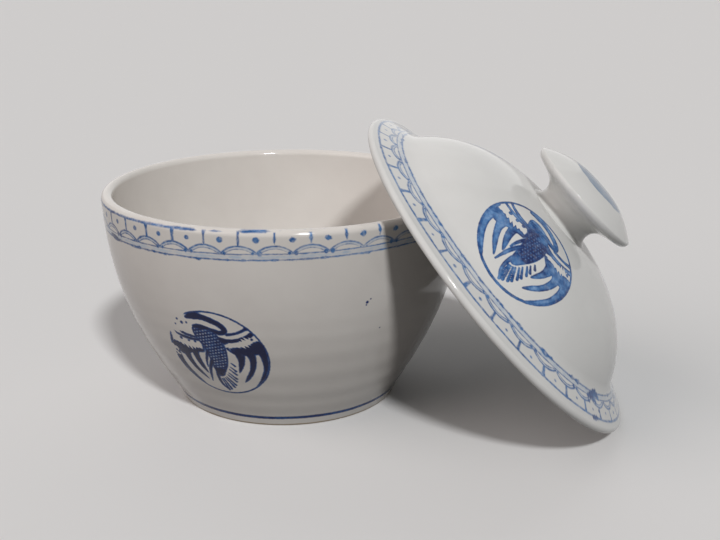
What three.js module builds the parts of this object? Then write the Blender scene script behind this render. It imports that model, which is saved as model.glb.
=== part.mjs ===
// Covered bowl in glazed ceramic, in millimetres with +Z up: a deep bowl on a turned foot ring, and a domed
// cover with a disc knob. The cover is off the bowl: it stands on its edge and leans on the bowl's rim.
import * as THREE from 'three';

// Bowl, outside
const BOWL_HEIGHT = 88.5;
const BOWL_RADIUS = 75;           // at the rim
const FOOT_RADIUS = 46.4;         // where the foot ring meets the table
const FOOT_TOP_RADIUS = 48;       // where the body grows out of the foot
const FOOT_HEIGHT = 4.6;
const FOOT_EDGE = 0.8;            // bevel on the foot ring's edges
const BODY_FOOT_LEAN = 32;        // degrees from upright, outwards
const BODY_FOOT_PULL = 32;        // how far the body follows that lean before it turns upright
const BODY_RIM_LEAN = 3;          // degrees from upright, outwards
const BODY_RIM_PULL = 35;

// Bowl, inside and below
const BOWL_WALL = 4.8;
const LIP_ROUND = 2.4;            // height of the rounded lip
const FLOOR_THICKNESS = 6.5;
const FLOOR_SWEEP = 14;           // height of the round sweep from floor to wall
const FLOOR_FLAT_RADIUS = 20;
const FOOT_RING_WIDTH = 5.5;
const FOOT_RING_TAPER = 1.2;      // the ring is this much wider at its root
const FOOT_RECESS = 4.2;          // depth of the hollow inside the foot ring

// Cover
const COVER_RADIUS = 77.6;
const COVER_EDGE = 3.1;           // thickness of the flange's rounded edge
const COVER_EDGE_ROUND = 1.4;
const DOME_RADIUS = 63.4;         // where the dome rises out of the flange
const DOME_FOOT_HEIGHT = 7.9;
const DOME_FOOT_LEAN = 32.5;      // degrees from upright, inwards
const DOME_FOOT_PULL = 16.7;
const CROWN_HEIGHT = 33.7;        // the small flat that the knob is luted to
const CROWN_SLOPE = 6.6;          // degrees, where the dome meets that flat
const CROWN_PULL = 21.3;
const FLANGE_FILLET = 4;          // hollow round between the flange and the dome
const COVER_WALL = 4.2;
const SEAT_STEP = 1.2;            // the seat lies this far above the edge, which laps the bowl's rim
const SEAT_LAP = 4.7;             // how far the seat reaches inside the bowl's wall
const LAP_CLEARANCE = 0.8;        // between the bowl's rim and the edge round it

// Knob
const KNOB_RADIUS = 25.05;
const KNOB_HEIGHT = 20.4;
const KNOB_EDGE_HEIGHT = 13.05;   // height of its widest line
const KNOB_EDGE_ROUND = 2.8;      // below its widest line
const KNOB_CREASE_ROUND = 0.8;    // above that line, where the edge turns into the top
const KNOB_TOP_SLOPE = 32;        // degrees, where the crowned top meets the edge
const KNOB_TOP_PULL = 10.6;
const KNOB_TOP_FLAT = 10;         // how far the top stays level around its middle
const KNOB_UNDER_SLOPE = 19;      // degrees, of the underside that the fingers hold
const KNOB_UNDER_PULL = 5.3;
const NECK_RADIUS = 12.3;         // at its waist
const NECK_WAIST_HEIGHT = 3;
const NECK_WAIST_PULL = 5;        // how far the neck runs upright above its waist
const NECK_FOOT_RADIUS = 14.2;
const NECK_FOOT_SLOPE = 30;       // degrees, where the neck spreads on to the cover
const NECK_FOOT_PULL = 1.2;
const KNOB_OFF_CENTRE = 1.45;     // the knob was set by hand, a little off the cover's axis
const KNOB_SEAT_MARGIN = 2.25;    // level crown left round the neck's foot
const KNOB_LEAN = 2.6;            // degrees by which its disc leans above the neck
const KNOB_LEAN_TOWARDS = 150;    // degrees round the cover's axis, from the downhill side
const KNOB_GAP = 0.3;

// How the cover rests beside the bowl
const LEAN = 48.6;                // degrees between the cover's axis and upright
const COVER_SIDESTEP = 13.4;      // the cover stands this far to the side of the bowl's axis
const LEAN_GAP = 0.3;             // clearance where it touches the rim

// Fineness of the facets
const TURNS = 72;
const KNOB_TURNS = 48;
const LONG_CURVE = 11;
const SHORT_CURVE = 4;

const at = (radius, height) => new THREE.Vector2(radius, height);
const sin = (degrees) => Math.sin(THREE.MathUtils.degToRad(degrees));
const cos = (degrees) => Math.cos(THREE.MathUtils.degToRad(degrees));

// A point moved by a distance along a direction given in degrees from the radius, towards the axis's top
const towards = (point, degrees, distance) =>
  at(point.x + distance * cos(degrees), point.y + distance * sin(degrees));

const bezier = (start, startHandle, endHandle, end) =>
  new THREE.CubicBezierCurve(start, startHandle, endHandle, end);

// The quarter or half of an ellipse from one angle to another, in degrees
function arc(centre, radiusX, radiusY, from, to) {
  const turn = THREE.MathUtils.degToRad;
  return new THREE.EllipseCurve(centre.x, centre.y, radiusX, radiusY, turn(from), turn(to), to < from);
}

// Points along one side of a curve, at a wall's thickness from it, between two shares of its length
function wallPoints(curve, wall, from, to) {
  const points = [];
  for (let i = 0; i <= LONG_CURVE; i++) {
    const share = from + ((to - from) * i) / LONG_CURVE;
    const along = curve.getTangentAt(share);
    points.push(curve.getPointAt(share).add(at(-along.y, along.x).multiplyScalar(wall)));
  }
  return points;
}

// The bowl's outer body line, from the foot up to the lip
const bowlBody = (() => {
  const foot = at(FOOT_TOP_RADIUS, FOOT_HEIGHT);
  const rim = at(BOWL_RADIUS, BOWL_HEIGHT - LIP_ROUND);
  return bezier(
    foot,
    towards(foot, 90 - BODY_FOOT_LEAN, BODY_FOOT_PULL),
    towards(rim, -90 - BODY_RIM_LEAN, BODY_RIM_PULL),
    rim,
  );
})();

// Half section of the bowl: under the base, up the outside, over the lip and down the inside
function bowlSection() {
  const ringInside = FOOT_RADIUS - FOOT_RING_WIDTH;
  const floor = FOOT_RECESS + FLOOR_THICKNESS;
  const lipCentre = at(BOWL_RADIUS - BOWL_WALL / 2, BOWL_HEIGHT - LIP_ROUND);
  const lip = arc(lipCentre, BOWL_WALL / 2, LIP_ROUND, 0, 180);
  const underLip = 1 - LIP_ROUND / bowlBody.getLength();
  const wall = wallPoints(bowlBody, BOWL_WALL, underLip, 0);
  const inside = wall.filter((point) => point.y > floor + FLOOR_SWEEP);
  const wallEnd = inside.at(-1);
  const wallAim = wallEnd.clone().sub(inside.at(-2)).normalize();
  const corner = wallEnd.clone().addScaledVector(wallAim, (wallEnd.y - floor) / -wallAim.y);
  const sweep = new THREE.QuadraticBezierCurve(wallEnd, corner, at(FLOOR_FLAT_RADIUS, floor));
  return [
    at(0, FOOT_RECESS),
    at(ringInside - FOOT_RING_TAPER, FOOT_RECESS),
    at(ringInside, FOOT_EDGE),
    at(ringInside + FOOT_EDGE, 0),
    at(FOOT_RADIUS - FOOT_EDGE, 0),
    at(FOOT_RADIUS, FOOT_EDGE),
    ...bowlBody.getSpacedPoints(LONG_CURVE),
    ...lip.getPoints(2 * SHORT_CURVE).slice(1),
    ...inside,
    ...sweep.getPoints(2 * SHORT_CURVE).slice(1),
    at(0, floor),
  ];
}

// Half section of the cover, about its own axis with its edge at height 0: inside, seat, edge, flange, dome
function coverSection() {
  const seatInside = BOWL_RADIUS - BOWL_WALL - SEAT_LAP;
  const seatOutside = BOWL_RADIUS + LAP_CLEARANCE;
  const crown = at(NECK_FOOT_RADIUS + KNOB_OFF_CENTRE + KNOB_SEAT_MARGIN, CROWN_HEIGHT);
  const domeFoot = at(DOME_RADIUS, DOME_FOOT_HEIGHT);
  const dome = bezier(
    domeFoot,
    towards(domeFoot, 90 + DOME_FOOT_LEAN, DOME_FOOT_PULL),
    towards(crown, -CROWN_SLOPE, CROWN_PULL),
    crown,
  );
  const edgeCentre = at(COVER_RADIUS - COVER_EDGE_ROUND, COVER_EDGE / 2);
  const edge = arc(edgeCentre, COVER_EDGE_ROUND, COVER_EDGE / 2, -90, 90);
  const edgeTop = edge.getPoint(1);
  const flangeEnd = domeFoot.clone().lerp(edgeTop, FLANGE_FILLET / domeFoot.distanceTo(edgeTop));
  const filletShare = FLANGE_FILLET / dome.getLength();
  const fillet = new THREE.QuadraticBezierCurve(flangeEnd, domeFoot, dome.getPointAt(filletShare));
  const domePoints = [];
  for (let i = 1; i <= LONG_CURVE; i++) {
    domePoints.push(dome.getPointAt(filletShare + ((1 - filletShare) * i) / LONG_CURVE));
  }
  const inside = wallPoints(dome, COVER_WALL, 1, filletShare);
  return [
    at(0, CROWN_HEIGHT - COVER_WALL),
    ...inside,
    at(seatInside, SEAT_STEP),
    at(seatOutside, SEAT_STEP),
    ...edge.getPoints(2 * SHORT_CURVE),
    ...fillet.getPoints(SHORT_CURVE),
    ...domePoints,
    at(0, CROWN_HEIGHT),
  ];
}

// Half section of the knob, with the foot of its neck at height 0
function knobSection() {
  const foot = at(NECK_FOOT_RADIUS, 0);
  const waist = at(NECK_RADIUS, NECK_WAIST_HEIGHT);
  const edgeCentre = at(KNOB_RADIUS - KNOB_EDGE_ROUND, KNOB_EDGE_HEIGHT);
  const creaseCentre = at(KNOB_RADIUS - KNOB_CREASE_ROUND, KNOB_EDGE_HEIGHT);
  const under = towards(edgeCentre, KNOB_UNDER_SLOPE - 90, KNOB_EDGE_ROUND);
  const shoulder = towards(creaseCentre, 90 - KNOB_TOP_SLOPE, KNOB_CREASE_ROUND);
  const top = at(0, KNOB_HEIGHT);
  const flare = bezier(
    foot,
    towards(foot, 180 - NECK_FOOT_SLOPE, NECK_FOOT_PULL),
    at(NECK_RADIUS, NECK_WAIST_HEIGHT / 2),
    waist,
  );
  const grip = bezier(
    waist,
    at(NECK_RADIUS, NECK_WAIST_HEIGHT + NECK_WAIST_PULL),
    towards(under, 180 + KNOB_UNDER_SLOPE, KNOB_UNDER_PULL),
    under,
  );
  const edge = arc(edgeCentre, KNOB_EDGE_ROUND, KNOB_EDGE_ROUND, KNOB_UNDER_SLOPE - 90, 0);
  const crease = arc(creaseCentre, KNOB_CREASE_ROUND, KNOB_CREASE_ROUND, 0, 90 - KNOB_TOP_SLOPE);
  const crown = bezier(
    shoulder,
    towards(shoulder, 180 - KNOB_TOP_SLOPE, KNOB_TOP_PULL),
    at(KNOB_TOP_FLAT, KNOB_HEIGHT),
    top,
  );
  return [
    at(0, 0),
    ...flare.getPoints(SHORT_CURVE),
    ...grip.getPoints(2 * SHORT_CURVE).slice(1),
    ...edge.getPoints(SHORT_CURVE).slice(1),
    ...crease.getPoints(SHORT_CURVE / 2).slice(1),
    ...crown.getPoints(2 * SHORT_CURVE).slice(1),
  ];
}

// A closed solid turned about Z from a half section
function turned(name, section, turns, material) {
  const geometry = new THREE.LatheGeometry(section, turns);
  geometry.rotateX(Math.PI / 2);
  const mesh = new THREE.Mesh(geometry, material);
  mesh.name = name;
  return mesh;
}

// Turns the points of a solid about its foot, from nothing at the foot to the whole lean at a height
function leaned(solid, lean, direction, height) {
  const places = solid.geometry.getAttribute('position');
  const axis = new THREE.Vector3(-sin(direction), cos(direction), 0);
  const point = new THREE.Vector3();
  for (let i = 0; i < places.count; i++) {
    point.fromBufferAttribute(places, i);
    const share = THREE.MathUtils.smoothstep(point.z, 0, height);
    point.applyAxisAngle(axis, THREE.MathUtils.degToRad(lean * share));
    places.setXYZ(i, point.x, point.y, point.z);
  }
  solid.geometry.computeVertexNormals();
  return solid;
}

// Distance from a point to a half section, negative inside it
function sectionDistance(section, point) {
  let nearest = Infinity;
  let inside = false;
  for (let i = 0; i < section.length; i++) {
    const start = section[i];
    const end = section[(i + 1) % section.length];
    const side = end.clone().sub(start);
    const toPoint = point.clone().sub(start);
    const share = THREE.MathUtils.clamp(toPoint.dot(side) / side.lengthSq(), 0, 1);
    nearest = Math.min(nearest, toPoint.addScaledVector(side, -share).length());
    if (start.y > point.y !== end.y > point.y) {
      const crossing = start.x + (side.x * (point.y - start.y)) / side.y;
      if (point.x < crossing) inside = !inside;
    }
  }
  return inside ? -nearest : nearest;
}

// Height of the leaning cover's middle, with the lowest point of its edge on the table
function coverHeight(section) {
  return Math.max(...section.map((point) => point.x * sin(LEAN) - point.y * cos(LEAN)));
}

// Distance from the bowl's axis at which the leaning cover just clears the bowl, found by halving steps
function leanDistance(bowl, cover, height) {
  const outside = bowl.filter((point) => point.x > BOWL_RADIUS - BOWL_WALL && point.y > height);
  const toCover = new THREE.Matrix4();
  const point = new THREE.Vector3();
  const clears = (distance) => {
    toCover.makeRotationY(THREE.MathUtils.degToRad(LEAN));
    toCover.setPosition(distance, -COVER_SIDESTEP, height).invert();
    return outside.every((rim) => {
      for (let turn = 0; turn < TURNS; turn++) {
        const degrees = (180 * turn) / TURNS - 90;
        point.set(rim.x * cos(degrees), rim.x * sin(degrees), rim.y).applyMatrix4(toCover);
        if (sectionDistance(cover, at(Math.hypot(point.x, point.y), point.z)) < LEAN_GAP) return false;
      }
      return true;
    });
  };
  let touching = 0;
  let clear = BOWL_RADIUS + 2 * COVER_RADIUS;
  while (clear - touching > LEAN_GAP / 100) {
    const middle = (clear + touching) / 2;
    if (clears(middle)) clear = middle;
    else touching = middle;
  }
  return clear;
}

const glaze = new THREE.MeshStandardMaterial({ color: '#d6d3cd', roughness: 0.16, metalness: 0 });
const coverGlaze = new THREE.MeshStandardMaterial({ color: '#dcdad6', roughness: 0.14, metalness: 0 });

const bowlOutline = bowlSection();
const coverOutline = coverSection();
const bowl = turned('bowl', bowlOutline, TURNS, glaze);
const cover = turned('cover', coverOutline, TURNS, coverGlaze);
const uprightKnob = turned('knob', knobSection(), KNOB_TURNS, coverGlaze);
const knob = leaned(uprightKnob, KNOB_LEAN, KNOB_LEAN_TOWARDS, NECK_WAIST_HEIGHT);
knob.position.set(-KNOB_OFF_CENTRE, 0, CROWN_HEIGHT + KNOB_GAP);

const leaningCover = new THREE.Group();
leaningCover.add(cover, knob);
const middleHeight = coverHeight(coverOutline);
const distance = leanDistance(bowlOutline, coverOutline, middleHeight);
leaningCover.position.set(distance, -COVER_SIDESTEP, middleHeight);
leaningCover.rotation.y = THREE.MathUtils.degToRad(LEAN);

// The set stands on Z 0, with the middle of its box over the origin
const coveredBowl = new THREE.Group();
coveredBowl.add(bowl, leaningCover);
const middle = new THREE.Box3().setFromObject(coveredBowl, true).getCenter(new THREE.Vector3());
bowl.position.set(-middle.x, -middle.y, 0);
leaningCover.position.sub(new THREE.Vector3(middle.x, middle.y, 0));

export default coveredBowl;
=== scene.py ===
"""A blue-and-white covered bowl: the bowl, its cover leaning on the rim, and the cover's knob."""

from math import cos, pi, radians, sin
from types import SimpleNamespace

import bpy
import numpy as np
from mathutils import Matrix, Vector


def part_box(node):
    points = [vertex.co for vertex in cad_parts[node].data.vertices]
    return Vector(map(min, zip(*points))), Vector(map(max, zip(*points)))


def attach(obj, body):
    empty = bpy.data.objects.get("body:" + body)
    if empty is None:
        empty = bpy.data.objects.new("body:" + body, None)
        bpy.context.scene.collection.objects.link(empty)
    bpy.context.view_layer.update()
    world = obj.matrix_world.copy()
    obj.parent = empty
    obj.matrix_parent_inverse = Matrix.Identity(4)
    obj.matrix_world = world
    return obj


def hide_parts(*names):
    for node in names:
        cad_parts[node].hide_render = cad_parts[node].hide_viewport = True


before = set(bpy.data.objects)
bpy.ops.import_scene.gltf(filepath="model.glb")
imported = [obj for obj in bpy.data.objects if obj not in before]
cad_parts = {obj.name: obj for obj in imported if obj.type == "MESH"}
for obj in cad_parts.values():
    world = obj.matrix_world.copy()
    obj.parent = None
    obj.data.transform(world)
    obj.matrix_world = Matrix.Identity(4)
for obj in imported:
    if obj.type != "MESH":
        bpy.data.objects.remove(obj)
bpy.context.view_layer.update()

MM = 0.001

# Bowl, in millimetres and degrees
BOWL_HEIGHT = 88.5
BOWL_RADIUS = 75.0
FOOT_RADIUS = 46.4
FOOT_TOP_RADIUS = 48.0
FOOT_HEIGHT = 4.6
FOOT_EDGE = 0.8
BODY_FOOT_LEAN = 32.0
BODY_FOOT_PULL = 32.0
BODY_RIM_LEAN = 3.0
BODY_RIM_PULL = 35.0
BOWL_WALL = 4.8
LIP_ROUND = 2.4
FLOOR_THICKNESS = 6.5
FLOOR_SWEEP = 14.0
FLOOR_FLAT_RADIUS = 20.0
FOOT_RING_WIDTH = 5.5
FOOT_RING_TAPER = 1.2
FOOT_RECESS = 4.2
RING_PITCH = 8.5
RING_RELIEF = 0.1
RINGS_TOP = 60.0

# Cover, about its own axis with its edge at height 0
COVER_RADIUS = 77.6
COVER_EDGE = 3.1
COVER_EDGE_ROUND = 1.4
DOME_RADIUS = 63.4
DOME_FOOT_HEIGHT = 7.9
DOME_FOOT_LEAN = 32.5
DOME_FOOT_PULL = 16.7
CROWN_HEIGHT = 33.7
CROWN_SLOPE = 6.6
CROWN_PULL = 21.3
FLANGE_FILLET = 4.0
COVER_WALL = 4.2
SEAT_STEP = 1.2
SEAT_LAP = 4.7
LAP_CLEARANCE = 0.8
LEAN = 48.6

# Knob, with the foot of its neck at height 0
KNOB_RADIUS = 25.05
KNOB_HEIGHT = 20.4
KNOB_EDGE_HEIGHT = 13.05
KNOB_EDGE_ROUND = 2.8
KNOB_CREASE_ROUND = 0.8
KNOB_TOP_SLOPE = 32.0
KNOB_TOP_PULL = 10.6
KNOB_TOP_FLAT = 10.0
KNOB_UNDER_SLOPE = 19.0
KNOB_UNDER_PULL = 5.3
NECK_RADIUS = 12.3
NECK_WAIST_HEIGHT = 3.0
NECK_WAIST_PULL = 5.0
NECK_FOOT_RADIUS = 14.2
NECK_FOOT_SLOPE = 30.0
NECK_FOOT_PULL = 1.2
KNOB_OFF_CENTRE = 1.45
KNOB_SEAT_MARGIN = 2.25
KNOB_GAP = 0.3
SLIP_SPREAD = 0.9
SLIP_SINK = 0.15
SLIP_CLIMB = 1 / 3
KNOB_LEAN = 2.6
KNOB_LEAN_TOWARDS = 150.0

# Printed ornament
ROUNDEL_RADIUS = 20.7
ROUNDELS = 3
BOWL_ROUNDEL_ANGLE = -103.3
BOWL_ROUNDEL_SLANT = 39.8
COVER_ROUNDEL_ANGLE = -101.4
COVER_ROUNDEL_SLANT = 41.2
BOWL_MISSES = (
    ((-14.5, 14.0, 5.6), (-20.0, -2.5, 2.6), (-18.0, 7.5, 1.2)),
    ((8.0, -15.0, 4.0), (17.0, 9.0, 3.0)),
    ((15.0, 7.0, 3.5), (-6.0, 19.0, 3.0)),
)
COVER_MISSES = (
    ((13.0, -19.0, 1.0),),
    ((-12.0, -12.0, 3.5), (18.0, -4.0, 2.5)),
    ((4.0, 16.0, 3.5),),
)
BOWL_CELLS = 36
COVER_CELLS = 32

# Fineness of the meshes
FINE_ROW = 0.36
WALL_ROW = 1.1
CURVE_ROW = 0.45
CURVE_POINTS = 400
ARC_POINTS = 60
FLANGE_POINTS = 30
SUBCOLUMNS = 5
BOWL_COLUMNS = 225
COVER_COLUMNS = 180
KNOB_COLUMNS = 160
PATCH_MARGIN = 1.2
SAME_POINT = 1e-6
ON_AXIS = 1e-9
ROW_SLACK = 1e-3

# Camera, from the outlines of rim, foot and cover in the photograph
LENS = 55.2
SENSOR = 36.0
CAMERA_BACK = 449.2
CAMERA_SIDE = 31.2
CAMERA_HEIGHT = 191.7
CAMERA_PITCH = 17.42
CAMERA_TURN = 7.7


# Section curves


def towards(point, degrees, distance):
    """A point moved by a distance along a direction, in degrees from the radius towards the axis's top."""
    return (point[0] + distance * cos(radians(degrees)), point[1] + distance * sin(radians(degrees)))


def bezier(*handles, count=CURVE_POINTS):
    """Points along a quadratic or cubic Bezier curve."""
    points = [np.asarray(h, float) for h in handles]
    t = np.linspace(0.0, 1.0, count)[:, None]
    while len(points) > 1:
        points = [a * (1 - t) + b * t for a, b in zip(points, points[1:])]
    return points[0]


def arc(centre, radius_x, radius_y, start, end):
    """Points along part of an ellipse, from one angle to another in degrees."""
    t = np.radians(np.linspace(start, end, ARC_POINTS))
    return np.stack([centre[0] + radius_x * np.cos(t), centre[1] + radius_y * np.sin(t)], 1)


def lengths(curve):
    """Distance along a curve at each of its points."""
    steps = np.hypot(*np.diff(curve, axis=0).T)
    return np.concatenate([[0.0], np.cumsum(steps)])


def at_length(curve, distances):
    """Points of a curve at distances along it."""
    along = lengths(curve)
    return np.stack([np.interp(distances, along, curve[:, k]) for k in (0, 1)], 1)


def spaced(curve, row):
    """The curve with points at an even spacing of about one row."""
    total = lengths(curve)[-1]
    return at_length(curve, np.linspace(0.0, total, max(2, round(total / row) + 1)))


def offset(curve, wall):
    """The curve moved to its left by a wall's thickness."""
    along = np.gradient(curve, axis=0)
    along /= np.hypot(*along.T)[:, None]
    return curve + wall * np.stack([-along[:, 1], along[:, 0]], 1)


def joined(*curves):
    """Curves put end to end, without repeated points."""
    points = np.concatenate([np.atleast_2d(np.asarray(c, float)) for c in curves])
    keep = np.concatenate([[True], np.hypot(*np.diff(points, axis=0).T) > SAME_POINT])
    return points[keep]


def rows_with_fine_band(total, start, end):
    """Distances along a wall, close together between start and end and wider elsewhere."""
    spans = ((0.0, start, WALL_ROW), (start, end, FINE_ROW), (end, total, WALL_ROW))
    parts = [np.linspace(a, b, max(2, round((b - a) / row) + 1)) for a, b, row in spans]
    return np.unique(np.concatenate(parts).round(6))


def bowl_body():
    """The bowl's outer line, from the top of the foot to the lip."""
    foot = (FOOT_TOP_RADIUS, FOOT_HEIGHT)
    rim = (BOWL_RADIUS, BOWL_HEIGHT - LIP_ROUND)
    return bezier(
        foot,
        towards(foot, 90 - BODY_FOOT_LEAN, BODY_FOOT_PULL),
        towards(rim, -90 - BODY_RIM_LEAN, BODY_RIM_PULL),
        rim,
    )


def bowl_section(band):
    """Half section of the bowl from under the base to the floor inside, and the row where the
    outer line starts."""
    ring_inside = FOOT_RADIUS - FOOT_RING_WIDTH
    floor = FOOT_RECESS + FLOOR_THICKNESS
    body = bowl_body()
    total = lengths(body)[-1]
    lip_centre = (BOWL_RADIUS - BOWL_WALL / 2, BOWL_HEIGHT - LIP_ROUND)
    lip = arc(lip_centre, BOWL_WALL / 2, LIP_ROUND, 0, 180)
    wall = offset(body, BOWL_WALL)[::-1]
    inside = wall[(wall[:, 1] > floor + FLOOR_SWEEP) & (wall[:, 1] < BOWL_HEIGHT - 2 * LIP_ROUND)]
    aim = inside[-1] - inside[-2]
    corner = inside[-1] + aim * (inside[-1][1] - floor) / -aim[1]
    sweep = bezier(inside[-1], corner, (FLOOR_FLAT_RADIUS, floor))
    base = np.array([
        (0.0, FOOT_RECESS),
        (ring_inside - FOOT_RING_TAPER, FOOT_RECESS),
        (ring_inside, FOOT_EDGE),
    ])
    third = FOOT_EDGE / 3
    ring = joined(
        bezier((ring_inside, FOOT_EDGE), (ring_inside + third, 0.0), (ring_inside + FOOT_EDGE, 0.0)),
        bezier((FOOT_RADIUS - FOOT_EDGE, 0.0), (FOOT_RADIUS - third, 0.0), (FOOT_RADIUS, FOOT_EDGE)),
    )
    side = spaced(np.array([(FOOT_RADIUS, FOOT_EDGE), (FOOT_TOP_RADIUS, FOOT_HEIGHT)]), CURVE_ROW)
    under = joined(spaced(base, WALL_ROW), spaced(ring, CURVE_ROW), side)
    outer = at_length(body, rows_with_fine_band(total, *band))
    height = outer[:, 1]
    below_top = np.clip((RINGS_TOP - height) / RINGS_TOP, 0, 1)
    above_foot = np.clip((height - FOOT_HEIGHT) / RING_PITCH, 0, 1)
    wave = np.sin(2 * pi * height / RING_PITCH + np.sin(height / RING_PITCH))
    outer[:, 0] += RING_RELIEF * (below_top * above_foot) * wave
    section = joined(
        under, outer, spaced(lip, CURVE_ROW / 2), spaced(inside, WALL_ROW), spaced(sweep, WALL_ROW),
        spaced(np.array([(FLOOR_FLAT_RADIUS, floor), (0.0, floor)]), WALL_ROW),
    )
    return section, len(under) - 1


def cover_dome():
    """The cover's outer line from the flange's edge over the dome to the crown."""
    crown = (NECK_FOOT_RADIUS + KNOB_OFF_CENTRE + KNOB_SEAT_MARGIN, CROWN_HEIGHT)
    foot = (DOME_RADIUS, DOME_FOOT_HEIGHT)
    dome = bezier(
        foot,
        towards(foot, 90 + DOME_FOOT_LEAN, DOME_FOOT_PULL),
        towards(crown, -CROWN_SLOPE, CROWN_PULL),
        crown,
    )
    edge_top = np.array((COVER_RADIUS - COVER_EDGE_ROUND, COVER_EDGE))
    share = FLANGE_FILLET / np.hypot(*(edge_top - foot))
    flange_end = np.asarray(foot) * (1 - share) + edge_top * share
    along = lengths(dome)
    upper = at_length(dome, np.linspace(FLANGE_FILLET, along[-1], len(dome)))
    fillet = bezier(flange_end, foot, upper[0], count=ARC_POINTS)
    return joined(np.linspace(edge_top, flange_end, FLANGE_POINTS), fillet, upper), upper


def cover_section(band):
    """Half section of the cover from the crown's inside round the edge to the crown, and the row
    where the outer line starts."""
    outer, upper = cover_dome()
    seat_inside = BOWL_RADIUS - BOWL_WALL - SEAT_LAP
    seat_outside = BOWL_RADIUS + LAP_CLEARANCE
    inner = offset(upper, COVER_WALL)[::-1]
    under = joined(
        spaced(np.array([(0.0, CROWN_HEIGHT - COVER_WALL), tuple(inner[0])]), WALL_ROW),
        spaced(inner, WALL_ROW),
        spaced(np.array([tuple(inner[-1]), (seat_inside, SEAT_STEP)]), CURVE_ROW),
        spaced(np.array([(seat_inside, SEAT_STEP), (seat_outside, SEAT_STEP)]), WALL_ROW),
        (COVER_RADIUS - COVER_EDGE_ROUND, 0.0),
    )
    edge_centre = (COVER_RADIUS - COVER_EDGE_ROUND, COVER_EDGE / 2)
    edge = spaced(arc(edge_centre, COVER_EDGE_ROUND, COVER_EDGE / 2, -90, 90), CURVE_ROW / 2)
    total = lengths(outer)[-1]
    outside = at_length(outer, rows_with_fine_band(total, *band))
    top = spaced(np.array([tuple(outer[-1]), (0.0, CROWN_HEIGHT)]), WALL_ROW)
    section = joined(under, edge, outside, top)
    return section, len(joined(under, edge)) - 1


def knob_section():
    """Half section of the knob, from the foot of its neck to the middle of its top."""
    foot = (NECK_FOOT_RADIUS, 0.0)
    waist = (NECK_RADIUS, NECK_WAIST_HEIGHT)
    edge_centre = (KNOB_RADIUS - KNOB_EDGE_ROUND, KNOB_EDGE_HEIGHT)
    crease_centre = (KNOB_RADIUS - KNOB_CREASE_ROUND, KNOB_EDGE_HEIGHT)
    under = towards(edge_centre, KNOB_UNDER_SLOPE - 90, KNOB_EDGE_ROUND)
    shoulder = towards(crease_centre, 90 - KNOB_TOP_SLOPE, KNOB_CREASE_ROUND)
    flare = bezier(
        foot,
        towards(foot, 180 - NECK_FOOT_SLOPE, NECK_FOOT_PULL),
        (NECK_RADIUS, NECK_WAIST_HEIGHT / 2),
        waist,
    )
    grip = bezier(
        waist,
        (NECK_RADIUS, NECK_WAIST_HEIGHT + NECK_WAIST_PULL),
        towards(under, 180 + KNOB_UNDER_SLOPE, KNOB_UNDER_PULL),
        under,
    )
    edge = arc(edge_centre, KNOB_EDGE_ROUND, KNOB_EDGE_ROUND, KNOB_UNDER_SLOPE - 90, 0)
    crease = arc(crease_centre, KNOB_CREASE_ROUND, KNOB_CREASE_ROUND, 0, 90 - KNOB_TOP_SLOPE)
    crown = bezier(
        shoulder,
        towards(shoulder, 180 - KNOB_TOP_SLOPE, KNOB_TOP_PULL),
        (KNOB_TOP_FLAT, KNOB_HEIGHT),
        (0.0, KNOB_HEIGHT),
    )
    slip_foot = (NECK_FOOT_RADIUS + SLIP_SPREAD, -KNOB_GAP - SLIP_SINK)
    slip_rows = int(len(flare) * SLIP_CLIMB)
    slip = bezier(slip_foot, foot, flare[slip_rows])
    return joined(
        spaced(np.array([(0.0, slip_foot[1]), slip_foot]), WALL_ROW),
        spaced(slip, CURVE_ROW / 2),
        spaced(flare[slip_rows:], CURVE_ROW),
        spaced(grip, CURVE_ROW),
        spaced(edge, CURVE_ROW / 2),
        spaced(crease, CURVE_ROW / 4),
        spaced(crown, CURVE_ROW),
    )


# The crane roundel, in millimetres from its middle, x to the right and y up

RING_LINE = 0.3
CURVE_STEPS = 7
FAR = 9.0

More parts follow.
